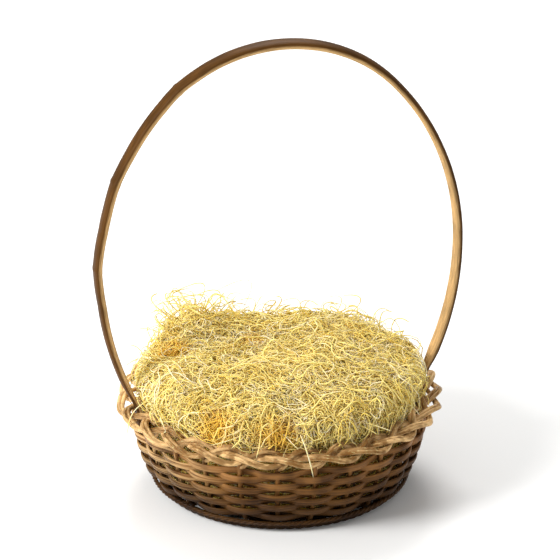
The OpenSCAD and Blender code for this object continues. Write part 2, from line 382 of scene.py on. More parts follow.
class Finish:
    """A material with one Principled shader, and the ways to add nodes to it."""

    def __init__(self, name, **constants):
        self.material = bpy.data.materials.new(name)
        self.material.use_nodes = True
        self.tree = self.material.node_tree
        self.shader = self.tree.nodes["Principled BSDF"]
        for socket, value in constants.items():
            socket = socket.replace("_", " ").title().replace("Ior", "IOR")
            self.shader.inputs[socket].default_value = value

    def node(self, kind, settings=None, inputs=None, output=0):
        """Adds a node: its type, its settings, then the values or links of its sockets."""
        made = self.tree.nodes.new("ShaderNode" + kind)
        for name, value in (settings or {}).items():
            if name == "stops":
                self.set_stops(made.color_ramp.elements, value)
            else:
                setattr(made, name, value)
        for name, value in (inputs or {}).items():
            if isinstance(value, Value):
                self.tree.links.new(value.socket, made.inputs[name])
            else:
                made.inputs[name].default_value = value
        return Value(self, made.outputs[output])

    @staticmethod
    def set_stops(elements, stops):
        while len(elements) < len(stops):
            elements.new(0.5)
        for element, (place, shade) in zip(elements, stops):
            element.position, element.color = place, (*shade, 1)

    def mix(self, share, first, second):
        """A colour between first and second."""
        shades = {key: value if isinstance(value, Value) else (*value, 1)
                  for key, value in ((6, first), (7, second))}
        return self.node("Mix", {"data_type": "RGBA"}, {0: share, **shades}, output=2)

    def scaled(self, vector, by):
        """A vector with each part multiplied by the same part of another."""
        return self.node("VectorMath", {"operation": "MULTIPLY"}, {0: vector, 1: by})

    def noise(self, vector, scale, detail=3.0, roughness=0.5):
        return self.node("TexNoise", None, {"Vector": vector, "Scale": scale, "Detail": detail,
                                            "Roughness": roughness})

    def place(self):
        """Object coordinates."""
        return self.node("TexCoord", output=3)

    def map(self):
        """The piece's own map: along it to the right and around it upwards."""
        return self.node("UVMap", {"uv_map": GRAIN_MAP})

    def part(self, vector, axis):
        """One of a vector's three parts."""
        return self.node("SeparateXYZ", None, {0: vector}, output=axis)

    def feed(self, socket, value):
        """Links a value to one of the shader's own sockets."""
        self.tree.links.new(value.socket, self.shader.inputs[socket])

    def bump(self, height, distance, strength=1.0):
        self.feed("Normal", self.node("Bump", None, {"Height": height, "Distance": distance,
                                                     "Strength": strength}))


def tint(shade, by, plus=0.0):
    """A colour with each part multiplied by one number, raised by another and kept below 1."""
    return tuple(min(1.0, by * part + plus) for part in shade)


# Each willow finish: its material, how fine its streaks are along each axis, and the height
# below which painted shade darkens it towards the ground
WILLOWS = {
    "weaver": ("brown_willow", (26.0, 26.0, 900.0), 0.046),
    "base": ("dark_willow", (320.0, 320.0, 320.0), 0.03),
    "stake": ("stake_willow", (700.0, 700.0, 40.0), 0.046),
    "plait": ("pale_willow", (22.0, 34.0, 1.0), None),
}


def willow(look):
    """Peeled and stained rods: long streaks and soft patches.

    The plait's streaks follow its own map, and its front has spots of painted shade. The others
    follow object coordinates; they are lighter in patches near the top, carry a painted highlight
    on the left side and painted shade that darkens them towards the ground.
    """
    tones, plaited = basket().colours, look == "plait"
    name, stretch, painted_shade_height = WILLOWS[look]
    light, dark = tones.willow_brown, tones.willow_dark
    if plaited:
        light, dark = tones.willow_pale, tones.willow_brown
    f = Finish(name, specular_ior_level=0.12)
    grain_place = f.scaled(f.map() if plaited else f.place(), stretch)
    streaks = f.noise(grain_place, 1.0, 4.0, 0.6)
    fibres = f.noise(grain_place, 3.7, 2.0)
    patches = f.noise(f.place(), 38.0, 2.0)
    lightness = (streaks - 0.5) * 1.9 + (patches - 0.5) * 1.5 + 0.48
    pale = tint(light, 1.9, 0.03)
    shade = f.mix(lightness.between(0.0, 1.0), dark, light)
    shade = f.mix(fibres.between(0.56, 0.76) * 0.5, shade, pale)
    if plaited:
        # Painted shade: the plait darkens towards the front, in spots that stand for the shaded gaps
        # between its rods.
        front = (0 - f.part(f.place(), 1)).between(0.040, 0.100)
        shade_spots = f.noise(f.place(), 120.0, 1.0).between(0.47, 0.60)
        shade = f.mix(front * shade_spots * 0.7, shade, tint(dark, 0.8))
    else:
        height = f.part(f.place(), 2)
        top = height.between(0.030, 0.062) * patches.between(0.35, 0.65)
        shade = f.mix(top * 0.6, shade, pale)
        # Painted highlight: the wall's left side, turned to the key light, is lightened in streaks
        # towards pale willow.
        left = (0 - f.part(f.place(), 0)).between(0.055, 0.100)
        painted_left_highlight = left * height.between(0.008, 0.045) * streaks.between(0.42, 0.60)
        shade = f.mix(painted_left_highlight * 0.75, shade, tint(tones.willow_pale, 0.85))
        # Painted shade: the wall darkens towards the ground, where it turns down away from the light.
        foot = 1 - height.between(0.0, painted_shade_height)
        shade = f.mix(foot * 0.85, shade, tint(dark, 0.3))
    f.feed("Base Color", shade)
    f.feed("Roughness", streaks * 0.3 + 0.30)
    f.bump(streaks + fibres * 0.5, 0.0004, 0.7)
    return f.material


def bamboo():
    """The hoop: glossy dark skin outside, and pale fibrous pith on its sides and inside.

    The map's height goes around the strip, from the middle of the inside face over one
    side, across the outside face and back.
    """
    tones = basket().colours
    f = Finish("bamboo", specular_ior_level=0.07)
    around = f.part(f.map(), 1)
    grain_place = f.scaled(f.map(), (60.0, 55.0, 1.0))
    fibres = f.noise(grain_place, 1.0, 3.0, 0.6)
    patches = f.noise(f.place(), 26.0, 2.0)
    wavy = around + (fibres - 0.5) * 0.03
    skin_mask = wavy.between(0.225, 0.285) * (1 - wavy.between(0.715, 0.775))
    skin = f.mix(((fibres - 0.5) * 2.0 + (patches - 0.5) * 1.8 + 0.4).between(0.0, 1.0),
                 tones.bamboo_skin, tint(tones.bamboo_skin, 2.0))
    pith = f.mix(((fibres - 0.5) * 2.4 + (patches - 0.5) + 0.6).between(0.0, 1.0),
                 tint(tones.bamboo_pith, 0.45), tones.bamboo_pith)
    f.feed("Base Color", f.mix(skin_mask, pith, skin))
    f.feed("Roughness", 0.65 - skin_mask * 0.2 + fibres * 0.1)
    f.bump(fibres, 0.0003, 0.5)
    return f.material


def straw():
    """Wood wool. The map holds two shades: a strand's own tone to the right, and how
    far up out of the hollows it lies upwards, which sets how much painted shade darkens it."""
    tones = basket().colours
    f = Finish("straw", roughness=0.7, specular_ior_level=0.12, subsurface_weight=0.3,
               subsurface_radius=(1.0, 0.7, 0.3), subsurface_scale=0.003)
    tone, lift = f.part(f.map(), 0), f.part(f.map(), 1)
    patches = f.noise(f.place(), 42.0, 2.0)
    stops = [(0.05, tones.straw_gold), (0.45, tones.straw_pale), (0.75, tones.straw_pale),
             (0.95, tint(tones.straw_pale, 0.70, 0.30))]
    own = f.node("ValToRGB", {"stops": stops}, {0: tone + (patches - 0.5) * 1.2})
    # Painted shade: where the lift is low, in hollows and under the surface, the strand turns darker
    # amber.
    painted_deep_shade = f.mix(lift.between(0.0, 0.35), tint(tones.straw_shade_amber, 0.55), tones.straw_shade_amber)
    f.feed("Base Color", f.mix(lift.between(0.2, 0.72), painted_deep_shade, own))
    return f.material


FINISHES = {}


def finish(look):
    """A finish by name, made when it is first asked for."""
    if look not in FINISHES:
        others = {"bamboo": bamboo, "straw": straw}
        FINISHES[look] = others[look]() if look in others else willow(look)
    return FINISHES[look]


# ---- the pieces

def base_stick_line(number):
    """Points [x, y] of a base stick in a group of three that lies along x.

    The outer two bend away from the middle one, and end as far from the axis as it does:
    the cosine rule gives the length of their last straights.
    """
    turn = math.radians(33) * (number - 2)
    reach, straight, bend, gap = 0.0825, 0.013, 0.014, 0.0048
    tangent = bend * math.tan(abs(turn) / 2)
    corner = straight + tangent
    base = corner * math.cos(turn) + gap * math.sin(abs(turn))
    leg = math.sqrt(base ** 2 + reach ** 2 - corner ** 2 - gap ** 2) - base - tangent
    bent = [(straight, 0, 4), (bend, -math.degrees(turn), 8), (leg, 0, 10)]
    half = bent_path((0.0, 0.0), bent if turn else [(reach, 0, 12)])
    return np.concatenate([half[:0:-1] * (-1, 1), half]) + (0.0, (number - 2) * gap)


def lay_base_sticks():
    """Six base sticks in two groups that cross, each a smooth rod with both ends bent the
    same way. The pierced ones are thicker where the others pass through them."""
    stick, bulge = 0.0046, 0.7
    for group, turned in (("pierced", 0.0), ("through", math.pi / 2)):
        angle = turned + PITCH / 2
        for number in (1, 2, 3):
            x, y = base_stick_line(number).T
            middles = np.stack([x * math.cos(angle) - y * math.sin(angle),
                                x * math.sin(angle) + y * math.cos(angle),
                                np.full_like(x, basket().wall.base_height)], -1)[None]
            girth = stick / 2 * (1 + 0.02 * waver(x * 60, 400 + number))
            swell = smoothstep(0.012, 0.008, np.abs(x)) if group == "pierced" else 0 * x
            section = circle(girth) * np.stack([1 + 0 * swell, 1 + bulge * swell], -1)[:, None, :]
            node = f"{group}_base_stick_{number}"
            lay_rods(node + "_rod", middles, UP, section[None], "base", node)


def twine_base():
    """Rounds of pairing: two rods that pass over and under each spoke in turn.

    Each rod's height is a wave around the base, and the two rods of a round are half a
    wave apart, so that they cross between the spokes.
    """
    rod, rise, pitch, steps = 0.0026, 0.0037, 0.0031, 144
    angle = np.arange(steps) * TAU / steps
    for node, first in (("inner_base_weave", 0.014), ("outer_base_weave", 0.059)):
        inner_edge, outer_edge = first - rod / 2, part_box(node)[1][0]
        rounds = int((outer_edge - inner_edge) / pitch)
        number, side = np.repeat(np.arange(rounds), 2)[:, None], np.tile([1.0, -1.0], rounds)[:, None]
        beat = np.cos(UPRIGHTS / 4 * (angle - PITCH / 2) + math.pi * number)
        height = basket().wall.base_height + side * rise * squared_off(beat, 0.6)
        radius = inner_edge + (number + 0.5) * (outer_edge - inner_edge) / rounds
        radius = radius + 0.0002 * np.array([waver(angle, 500 + k) for k in range(2 * rounds)])
        lay_rods(node + "_rods", polar(radius, angle, height), UP, circle(rod / 2, 8), "base", node,
                 closed=True)


def twist_ring(node, radius, height, rod, twist, turns):
    """A round of three rods twisted together, each winding around the ring's middle line."""
    steps, rods = turns * 16, 3
    angle = np.arange(steps) * TAU / steps
    wind = angle[None] * turns + np.arange(rods)[:, None] * TAU / rods
    middles = polar(radius + twist * np.cos(wind), angle, height + twist * np.sin(wind))
    lay_rods(node + "_rods", middles, UP, circle(rod / 2, 10), "base", node, closed=True)


def set_stakes():
    """Each stake lies in the base, bends up and runs up the wall to the border."""
    sizes = basket().wall
    share = sizes.stake_bend / sizes.curve
    lean = math.asin((math.sin(sizes.lean) - share) / (1 - share))
    bend_end = sizes.base_height + sizes.stake_bend * (1 - math.sin(lean))
    tail, top = 0.058, 0.0605
    r, z = bent_path((tail, sizes.base_height), [
        (wall_at(bend_end) - sizes.stake_bend * math.cos(lean) - tail, 0, 6),
        (sizes.stake_bend, math.degrees(lean) - 90, 10),
        (sizes.curve, math.degrees(lean_at(top) - lean), 16)]).T
    for number, place in enumerate(STAKE_PLACES, 1):
        angle = place * PITCH
        girth = sizes.stake_diameter / 2 * (0.96 + 0.03 * waver(z * 80, 600 + place))
        guide = np.array([-math.sin(angle), math.cos(angle), 0.0])
        lay_rods(f"stake_{number}_rod", polar(r, angle, z)[None], guide, circle(girth)[None],
                 "stake", f"stake_{number}")


def weave_wall():
    """Weaver rows: each strip's radius is a wave that passes outside one upright and
    inside the next, and its two ends overlap in a long scarf, one inside the other."""
    sizes = basket().wall
    clearance, overlap, thinnest, steps = 0.00025, math.radians(24), 0.25, 520
    swing = (sizes.stake_diameter + sizes.weaver_thickness) / 2 + clearance
    run = np.linspace(0, TAU + overlap, steps)
    whole = np.minimum(smoothstep(0, overlap, run), 1 - smoothstep(TAU, TAU + overlap, run))
    thin = thinnest + (1 - thinnest) * whole
    slip = (1 - thin) * sizes.weaver_thickness / 2 * np.where(run < math.pi, 1, -1)
    for row in range(1, ROWS + 1):
        node = f"weaver_row_{row}"
        low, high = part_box(node)
        middle_z = (low[2] + high[2]) / 2
        lean = lean_at(middle_z)
        # each row starts seven uprights on from the one below, just past an upright
        angle = (row * 7 + 5) * PITCH + 0.05 + run
        side = 1 if row % 2 == 0 else -1
        wave = side * squared_off(np.cos(UPRIGHTS / 2 * angle), 0.85)
        height = middle_z + 0.00038 * waver(angle, 700 + row, 9, 3)
        radius = wall_at(height) + wave * swing * (1 + 0.3 * near_leg(angle)) + slip
        tall = sizes.row_pitch / math.cos(lean) * (1.06 + 0.05 * waver(angle, 720 + row, 12, 4))
        section = flat_oval(sizes.weaver_thickness * thin, tall * (0.6 + 0.4 * thin))
        lay_rods(node + "_willow", polar(radius, angle, height)[None],
                 outwards(angle, math.pi / 2 - lean), section[None], "weaver", node,
                 roll=0.05 * waver(angle, 740 + row, 8, 5)[:, None])


def border_line(angle, strand, offset=0.0, drop=0.0):
    """Middle of a border strand: across the rim a sine of its phase, and square to the
    rim a sine of twice its phase. It makes room for a handle leg, and offset and drop move
    it to the side and down."""
    sizes = basket().border
    phase = UPRIGHTS / STRANDS * angle + math.radians(270) + TAU / STRANDS * strand
    past_leg = -0.0010 if strand == 0 else 0.0019
    x = sizes.swing * np.sin(phase) + past_leg * near_leg(angle) + offset
    n = sizes.rise * np.sin(2 * phase) + drop
    radius = sizes.radius + x * math.cos(sizes.tilt) + n * math.sin(sizes.tilt)
    height = sizes.height - x * math.sin(sizes.tilt) + n * math.cos(sizes.tilt)
    return radius, height


def border_rod(place, strand, run):
    """Middle line of the border rod of an upright: it leaves the wall, joins a strand,
    moves over for the next rod of the strand, and is tucked underneath at its end."""
    sizes = basket().border
    leaves, tuck_depth, leg_shift = 0.057, 0.0030, math.radians(3.4)
    angle = place * PITCH + run
    if place in LEG_PLACES:
        angle = angle + leg_shift * (1 - eased(run, 0, 9))
    offset = (eased(run, 34, 54) - 0.5) * 1.02 * sizes.rod
    radius, height = border_line(angle, strand, offset, -tuck_depth * eased(run, 88, 103))
    joined = eased(run, 0, 7.5)
    z = leaves * (1 - joined) + height * joined
    r = wall_at(z) * (1 - joined) + radius * joined
    r = r + 0.00025 * waver(run * 4, 800 + place, 6)
    return polar(r, angle, z + 0.00020 * waver(run * 4, 850 + place, 6))


def plait_border():
    """The border: every upright's rod follows a strand for a quarter of the way round,
    beside the rod before it. The strand that lies lowest takes up the rod."""
    sizes = basket().border
    run = np.linspace(0, math.radians(104), 150)
    for strand in range(STRANDS):
        places = [place for place in range(UPRIGHTS) if (2 - place) % STRANDS == strand]
        middles = np.array([border_rod(place, strand, run) for place in places])
        guide = outwards(np.arctan2(middles[..., 1], middles[..., 0]), math.pi / 2 - sizes.tilt)
        seeds = 900 + strand * len(places) + np.arange(len(places))
        girth = sizes.rod / 2 * (1 + 0.05 * np.array([waver(run * 6, seed, 7) for seed in seeds]))
        node = f"border_strand_{strand + 1}"
        lay_rods(node + "_rods", middles, guide, circle(girth), "plait", node)


def hoop_path():
    """The hoop's middle line as x and z, and each point's distance along it.

    The half line is a chain: the crown's arc, the shoulder's arc, which stands upright at
    the widest, an arc inwards, a short bend back and the wall's own curve. Then both
    halves are joined, spaced evenly and smoothed.
    """
    top = basket().hoop.top
    crown, crown_turn, shoulder, bend = 0.1145, 47.2, 0.190, 0.030
    leg_top, leg_end = 0.0625, 0.0126
    turned = math.radians(crown_turn)
    widest = crown * math.sin(turned) + shoulder * (1 - math.sin(turned))
    widest_z = top - crown * (1 - math.cos(turned)) - shoulder * math.cos(turned)
    lean = lean_at(leg_top)
    inwards = widest - wall_at(leg_top) + bend * (1 - math.cos(lean))
    down = widest_z - leg_top + bend * math.sin(lean)
    side_turn = 2 * math.atan(inwards / down)
    side = down / math.sin(side_turn) - bend
    half = bent_path((0.0, top), [
        (crown, crown_turn, 40), (shoulder, 90 - crown_turn, 50),
        (side, math.degrees(side_turn), 44), (bend, math.degrees(lean - side_turn), 10),
        (basket().wall.curve, math.degrees(lean_at(leg_end) - lean), 16)])
    both = np.concatenate([half[:0:-1] * (-1, 1), half])
    travel = travelled(*both.T)
    even = np.linspace(0, travel[-1], 620)
    path = np.stack([np.interp(even, travel, both[:, k]) for k in (0, 1)], -1)
    for _ in range(3):
        path[1:-1] = (path[:-2] + 2 * path[1:-1] + path[2:]) / 4
    return path.T, even


def bend_hoop():
    """The bamboo hoop: a strip with a crowned outer face, a flat inner one and whittled
    ends, and a raised ring and a slight kink at each of its nodes."""
    sizes = basket().hoop
    (x, z), travel = hoop_path()
    middles = np.stack([x, 0 * x, z], -1)[None]
    back = np.zeros_like(middles) + np.array([0.0, 1.0, 0.0])
    out = unit(np.cross(back, along(middles)))
    out = out * np.sign(out[0, len(x) // 2, 2])
    whole = smoothstep(0.076, 0.094, z)
    width = sizes.tongue_width + (sizes.width - sizes.tongue_width) * whole
    thick = sizes.tongue_thickness + (sizes.thickness - sizes.tongue_thickness) * whole
    knot_shares, knot_spread = np.array([0.216, 0.299, 0.400]), 0.0016
    kink_reach, kink_height = (0.030, 0.022, 0.016), (0.0018, 0.0009, 0.0005)
    from_knots = travel[:, None] - travel[-1] * knot_shares
    near = np.exp(-(from_knots / knot_spread) ** 2).sum(1)
    kink = (np.maximum(0, 1 - np.abs(from_knots) / kink_reach) * kink_height).sum(1)
    middles = middles + out * (kink * whole)[None, :, None]
    turn = np.arange(40) * TAU / 40
    # turn 0 faces inwards, so that the map starts in the middle of the inside face
    flat, wide, crown_share = -squared_off(np.cos(turn), 0.45), squared_off(np.sin(turn), 0.38), 0.22
    crowned = flat / 2 + np.clip(flat, 0, 1) * (1 - wide ** 2) * crown_share
    thick = thick * (1 + 0.02 * waver(travel * 40, 31, 8)) * (1 + 0.10 * near)
    width = width * (1 + 0.012 * waver(travel * 30, 32, 8)) * (1 + 0.05 * near)
    section = np.stack([crowned * thick[:, None], wide / 2 * width[:, None]], -1)[None]
    rods_piece("handle_hoop_bamboo", sweep(middles, out, back, section), "bamboo", "handle_hoop")


# ---- the straw

# The height at which the heap is widest, how far it rises above that, and its radius there
HEAP_WIDEST, HEAP_RISE, HEAP_REACH = 0.081, 0.0165, 0.1010
# The tilt at its lower edge, and how far over it from the top the strands lie
HEAP_TURN, HEAP_WALK = math.radians(106), 0.124
# Large mounds and hollows as (x, y, spread, height)
MOUNDS = [(-0.048, 0.076, 0.014, 0.0080), (0.022, 0.080, 0.030, -0.0045),
          (-0.008, 0.082, 0.011, -0.0020), (-0.078, -0.012, 0.016, 0.0045),
          (0.062, 0.020, 0.020, 0.0030), (0.004, -0.030, 0.024, 0.0030),
          (-0.066, -0.073, 0.013, -0.0035), (-0.026, -0.095, 0.014, -0.0035),
          (-0.074, 0.036, 0.011, -0.0045), (-0.012, 0.034, 0.009, -0.0030)]
# Places of painted golden shade in the heap's hollows, as (x, y, z, spread, strength)
PAINTED_GOLDEN_SHADE = [(-0.066, -0.073, 0.078, 0.0140, 0.58), (-0.026, -0.095, 0.081, 0.0140, 0.58),
          (-0.073, 0.036, 0.091, 0.0140, 0.54), (-0.012, 0.034, 0.096, 0.0080, 0.50),
          (0.040, 0.010, 0.098, 0.0090, 0.25), (0.030, -0.070, 0.092, 0.0100, 0.25)]


def small_mounds():
    """Small bumps and dents of seeded places, spreads and heights."""
    rng = np.random.default_rng(11)
    count = 120
    return np.column_stack([rng.uniform(-0.105, 0.105, (count, 2)), rng.uniform(0.005, 0.010, count),
                            rng.uniform(-0.0034, 0.0036, count)]).tolist()


ALL_MOUNDS = MOUNDS + small_mounds()


def lumps(x, y):
    """Height of the mounds and hollows: a sum of bell-shaped bumps."""
    total = np.zeros(np.shape(x))
    for at_x, at_y, spread, lift in ALL_MOUNDS:
        total += lift * np.exp(-((x - at_x) ** 2 + (y - at_y) ** 2) / (2 * spread ** 2))
    return total


def heap_outline(tilt):
    """Radius and height of the heap's outline: tilt is 0 at the top, a quarter turn at the
    widest. It is an oval with square shoulders, a power of the sine out and of the cosine
    up, which draws in below the widest to fit inside the border."""
    under = np.clip((tilt - math.pi / 2) / (HEAP_TURN - math.pi / 2), 0, 1)
    radius = HEAP_REACH * np.where(under > 0, 1 - 0.062 * under ** 1.5, np.abs(np.sin(tilt)) ** 0.62)
    rise = HEAP_RISE * np.clip(np.cos(tilt), 0, 1) ** 0.72
    return radius, HEAP_WIDEST + rise - 0.013 * under


def tilt_at(distance):
    """The tilt at a distance walked from the top over the heap's outline."""
    tilts = np.linspace(0, HEAP_TURN, 500)
    radius, height = heap_outline(tilts)
    return np.interp(distance, travelled(radius, height), tilts)


def heap(tilt, angle, off=0.0):
    """Points of the heap's surface, moved off it by a distance along the outline's normal.

    The heap is lower and drawn in towards the front, and has mounds and hollows above its
    widest.
    """
    radius, height = heap_outline(tilt)
    step, front_angle, front_draw, front_drop = 0.01, math.radians(14), 0.030, 0.0045
    before, after = (np.stack(heap_outline(at), -1) for at in (np.maximum(tilt - step, 0), tilt + step))
    normal = left_of(before, after)
    sine = np.clip(np.sin(tilt), 0, 1)
    front = np.clip(-np.sin(angle - front_angle), 0, 1) ** 2 * sine
    radius = radius * (1 - front_draw * front)
    height = height - front_drop * front
    mound = lumps(radius * np.cos(angle), radius * np.sin(angle))
    off = off + mound * np.clip(1.8 * normal[..., 1] + 0.5, 0, 1)
    return polar(radius + off * normal[..., 0], angle, height + off * normal[..., 1])


def wander(count, points, rng, shortest, longest):
    """Curly lines laid out flat around their own middles, and heights off the flat.

    A line's heading is a random start plus a steady turn plus two waves, and it coils
    loosely around that walk while its middle arches up.
    """
    t = np.linspace(0, 1, points)
    pick = lambda low, high: rng.uniform(low, high, count)[:, None]
    reach = pick(shortest, longest)
    waves = sum(pick(0.3, 1.6) * np.sin(t * TAU * pick(0.5, 2.2) + pick(0, TAU)) for _ in range(2))
    heading = pick(0, TAU) + rng.normal(0, 2.4, count)[:, None] * t + waves
    step = reach / (points - 1)
    coil, coil_phase = pick(0.0003, 0.0030), pick(0, TAU) + t * TAU * pick(0.6, 2.3)
    x = np.cumsum(step * np.cos(heading), 1) - coil * np.cos(coil_phase) * np.sin(heading)
    y = np.cumsum(step * np.sin(heading), 1) + coil * np.cos(coil_phase) * np.cos(heading)
    arch = rng.exponential(0.0020, count)[:, None] * np.sin(math.pi * t)
    off = 0.8 * coil * np.sin(coil_phase) + np.minimum(arch, 0.011)
    return x - x.mean(1, keepdims=True), y - y.mean(1, keepdims=True), off


def over_heap(x, y, rng):
    """Tilts and angles of lines that are spread evenly over the heap laid out as a disc."""
    spread = HEAP_WALK * np.sqrt(rng.uniform(0, 1, (len(x), 1)))
    start = rng.uniform(0, TAU, (len(x), 1))
    x, y = x + spread * np.cos(start), y + spread * np.sin(start)
    return tilt_at(np.minimum(np.hypot(x, y), HEAP_WALK)), np.arctan2(y, x)


def below_heap(walk, angle, off):
    """Points of the nest's lower surface, at a walk from under the heap down the inside of
    the wall and then in to the middle of the foot, and a distance off it."""
    top_z, bottom_z, wall_gap, widest = 0.0725, 0.0164, 0.0064, 0.0948
    z = np.linspace(top_z, bottom_z, 40)
    r = np.minimum(wall_at(z) - wall_gap, widest)
    foot_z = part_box("straw_nest")[0][2] + 0.0008
    r, z = np.append(r, [r[-1] - 0.0026, 0.0]), np.append(z, [foot_z, foot_z])
    walked = travelled(r, z)
    walk = np.clip(walk, 0, walked[-1] - 0.002)
    here, ahead = (np.stack([np.interp(at, walked, r), np.interp(at, walked, z)], -1)
                   for at in (walk, walk + 0.001))
    spot = here + off[..., None] * left_of(here, ahead)
    return polar(spot[..., 0], angle, spot[..., 1])


def ribbons(middles, width, thickness, rng, twist=1.0):
    """Rings of thin three-sided ribbons that taper to points and twist along their way.

    Up is away from a point inside the nest, which few of the strands run along.
    """
    count, n = middles.shape[:2]
    frames = square_frame(middles, middles - np.array([0.0, 0.0, 0.045]))
    roll = (rng.uniform(0, TAU, count)[:, None]
            + np.linspace(0, 1, n) * rng.normal(0, 3.0 * twist, count)[:, None])[..., None]
    taper = np.clip(1.25 * np.sin(np.linspace(0, math.pi, n)) ** 0.35, 0, 1)
    taper[[0, -1]] = 0.02
    section = np.array([[-0.5, -0.3], [0.5, -0.3], [0.0, 0.6]])
    size = np.stack([width[:, None] * taper, thickness[:, None] * taper], -1)
    return sweep(middles, *rolled(*frames, roll), section * size[..., None, :])


def straw_piece(name, points, tone, lift):
    """A piece of strands whose map holds each strand's tone and each place's lift, which sets its
    painted shade.
    """
    count, n, m = points.shape[:3]
    faces = tube_quads(count, n, m)
    shades = np.broadcast_arrays(tone[:, None, None], lift[..., None], np.zeros(m))[:2]
    across = np.linspace(-0.004, 0.004, m)[:, None]
    uv = np.clip(np.stack(shades, -1) * 0.98 + 0.01 + across, 0.002, 0.998)
    new_piece(name, points.reshape(-1, 3), faces, uv.reshape(-1, 2)[faces.ravel()], "straw", "straw")


def painted_light_of(points, off):
    """How far up out of the hollows places lie, from 0 to 1, which sets their painted shade: less in a
    hollow of the mounds, less below the surface, and less by a bell-shaped amount in a place of painted
    golden shade."""
    mound = lumps(points[..., 0], points[..., 1])
    lift = 0.85 + np.minimum(mound, 0) * 40 + np.minimum(off, 0.001) * 60
    for *centre, spread, strength in PAINTED_GOLDEN_SHADE:
        lift -= strength * np.exp(-((points - centre) ** 2).sum(-1) / (2 * spread ** 2))
    return np.clip(lift, 0, 1)


def fill_core():
    """The inside of the heap: a closed skin just under the strands, down to the base."""
    rings, sides = 50, 220
    under_strands, under_rows, widest = 0.0058, 0.0082, 0.0930
    angle = np.arange(sides) * TAU / sides
    rng = np.random.default_rng(21)
    tilt = np.linspace(0, HEAP_TURN, rings)[:, None]
    top = heap(tilt, angle[None], 0.0010 * rng.normal(size=(rings, sides)) - under_strands)
    base_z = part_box("straw_nest")[0][2]
    z = np.linspace(top[-1, :, 2].mean() - 0.002, base_z + 0.0045, 24)[:, None] + 0 * angle[None]
    r = np.minimum(wall_at(z) - under_rows, widest) + 0.0006 * rng.normal(size=z.shape)
    wall = polar(r, angle[None], z)
    foot = polar(r[-1:] * np.linspace(0.97, 0.0, 12)[:, None], angle[None], base_z + 0.0018)
    points = np.concatenate([top, wall, foot])
    points[0] = points[0].mean(0)
    points[-1] = points[-1].mean(0)
    # Painted shade: the core darkens towards deeper amber lower down.
    lift = np.clip(0.42 * (points[..., 2] - 0.066) / 0.03, 0.15, 0.42)
    quad = tube_quads(1, *points.shape[:2])[:, [0, 3, 2, 1]]
    tone = 0.2 + 0.3 * rng.uniform(size=points.shape[:2])
    uv = np.stack([tone, lift], -1).reshape(-1, 2)[quad.ravel()]
    new_piece("straw_core", points.reshape(-1, 3), quad, uv, "straw", "straw", ["straw_nest"])


def lay_strands():
    """The strands, in pieces from the hollows outwards, each with its own seed."""
    sizes = basket().straw
    layers, points = 7, 15
    each = sizes.strands // layers
    for layer in range(layers):
        rng = np.random.default_rng(1000 + layer)
        x, y, rise = wander(each, points, rng, 0.024, 0.075)
        tilt, angle = over_heap(x, y, rng)
        level = -0.0045 + 0.0060 * (layer + rng.uniform(0, 1, each)) / layers
        off = level[:, None] + rise * (0.6 + 0.7 * layer / layers)
        middles = heap(tilt, angle, off)
        width = sizes.ribbon * rng.uniform(0.5, 1.2, each)
        rings = ribbons(middles, width, 0.5 * width, rng)
        # Random tone, paler in the outer layers and more golden in the inner ones: painted light and
        # shade by depth.
        tone = np.clip(rng.beta(1.8, 1.6, each) + 0.08 * (layer - 4.5), 0, 1)
        straw_piece(f"straw_strands_{layer + 1}", rings, tone, painted_light_of(middles, off))


def lay_lower_strands():
    """Strands around the sides and the foot of the nest, pressed flat by the basket."""
    sizes = basket().straw
    count, rng = sizes.lower, np.random.default_rng(61)
    side_share, side_walk, foot_radius = 0.66, 0.060, 0.085
    x, y, rise = wander(count, 13, rng, 0.024, 0.070)
    on_side = rng.uniform(0, 1, count) < side_share
    side, reach = rng.uniform(-0.004, side_walk, count), foot_radius * np.sqrt(rng.uniform(0, 1, count))
    walk = np.where(on_side, side, side_walk + foot_radius - reach)[:, None] + y
    around = np.where(on_side, 0.092, np.maximum(reach, 0.02))[:, None]
    angle = rng.uniform(0, TAU, (count, 1)) + x / around
    off = rng.uniform(-0.0016, 0.0, (count, 1)) + np.clip(rise, -0.0004, 0.0004)
    width = sizes.ribbon * rng.uniform(0.6, 1.3, count)
    rings = ribbons(below_heap(walk, angle, off), width, 0.4 * width, rng, 0.4)
    # Painted shade: a middle lift mixes some amber into these strands.
    straw_piece("straw_lower_strands", rings, rng.beta(1.6, 1.6, count),
                np.full((count, 13), 0.62) + 0.1 * rng.normal(size=(count, 1)))


def lay_loose():
    """Thin strands that stand out of the heap in curls, more of them at its back and left."""
    sizes = basket().straw
    count, n = sizes.loose, 16
    tuft_share, tuft_angle, tuft_growth = 0.35, math.radians(122), 1.3
    rng = np.random.default_rng(77)
    tuft = rng.uniform(0, 1, count) < tuft_share
    angle = np.where(tuft, rng.normal(tuft_angle, 0.22, count), rng.uniform(0, TAU, count))
    tilt = np.where(tuft, rng.normal(1.0, 0.15, count), rng.uniform(0.35, 1.5, count))
    root = heap(tilt, angle)[:, None, :]
    t = np.linspace(0, 1, n)[None, :, None]
    lean = angle + rng.normal(0, 1.2, count)
    out = np.stack([np.cos(lean), np.sin(lean), 0.35 + 0 * lean], -1)
    reach = rng.uniform(0.010, 0.028, count) * np.where(tuft, tuft_growth, 1.0)
    bow = np.stack([-np.sin(lean), np.cos(lean), 0 * lean], -1)[:, None, :]
    curl = rng.normal(0, 0.45, count)[:, None, None] * np.sin(t * math.pi) * bow
    rise = 0.40 * np.sin(t * math.pi * 0.8) * UP
    middles = root + reach[:, None, None] * (t * out[:, None, :] * 0.65 + rise + curl)
    width = rng.uniform(0.0005, 0.0010, count)
    points = ribbons(middles, width, 0.7 * width, rng)
    tone = rng.uniform(0, 0.7, count)
    straw_piece("straw_loose", points, tone, np.full((count, n), 0.95))


def over_line(corners, t):
    """A smooth curve over four corners: each share is a power of t times one of 1 - t."""
    shares = np.concatenate([(1 - t) ** 3, 3 * t * (1 - t) ** 2, 3 * t * t * (1 - t), t ** 3], 1)
    return shares @ np.array(corners)


